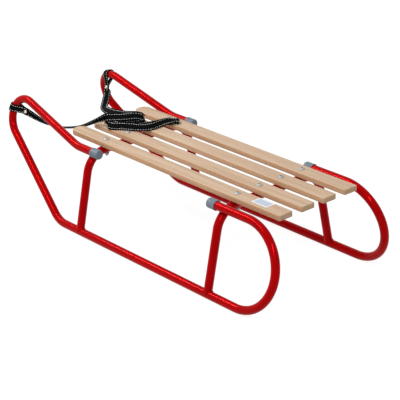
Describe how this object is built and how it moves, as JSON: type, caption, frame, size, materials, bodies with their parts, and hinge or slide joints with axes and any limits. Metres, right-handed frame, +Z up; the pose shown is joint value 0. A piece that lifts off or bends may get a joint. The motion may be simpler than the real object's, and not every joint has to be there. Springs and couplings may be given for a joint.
{
  "type": "metal sled",
  "caption": "Snow sled with a bent red tube frame on two runners, a slatted wooden seat and a black webbing pull strap folded on the seat.",
  "frame": {"origin": "on the floor, under the middle of the frame's length and width", "axes": "+X along the sled towards its rear, horns towards -X; +Y to the sled's right as its rider sits; +Z up"},
  "size_m": [0.9917, 0.403, 0.2778],
  "materials": {
    "red_paint": "glossy powder coat",
    "beech": "clear matt lacquer",
    "grey_plastic": "fine grain",
    "zinc": "bright zinc",
    "rivet_metal": "polished",
    "webbing": "woven, with a pale stitch line along each edge"
  },
  "bodies": {
    "root": {"bolt_front_1": "zinc", "bolt_front_2": "zinc", "bolt_front_3": "zinc", "bolt_front_4": "zinc", "bolt_rear_1": "zinc", "bolt_rear_2": "zinc", "bolt_rear_3": "zinc", "bolt_rear_4": "zinc", "bow_front": "red_paint", "bow_rear": "red_paint", "cap_front_left": "grey_plastic", "cap_front_right": "grey_plastic", "cap_rear_left": "grey_plastic", "cap_rear_right": "grey_plastic", "nut_front_1": "zinc", "nut_front_2": "zinc", "nut_front_3": "zinc", "nut_front_4": "zinc", "nut_rear_1": "zinc", "nut_rear_2": "zinc", "nut_rear_3": "zinc", "nut_rear_4": "zinc", "rivet_left": "rivet_metal", "rivet_right": "rivet_metal", "runner_left": "red_paint", "runner_right": "red_paint", "slat_1": "beech", "slat_2": "beech", "slat_3": "beech", "slat_4": "beech", "strap_hank": "webbing", "strap_lobe": "webbing", "strap_loop_left": "webbing", "strap_loop_right": "webbing", "strap_run_left": "webbing", "strap_run_right": "webbing"}
  },
  "joints": []
}
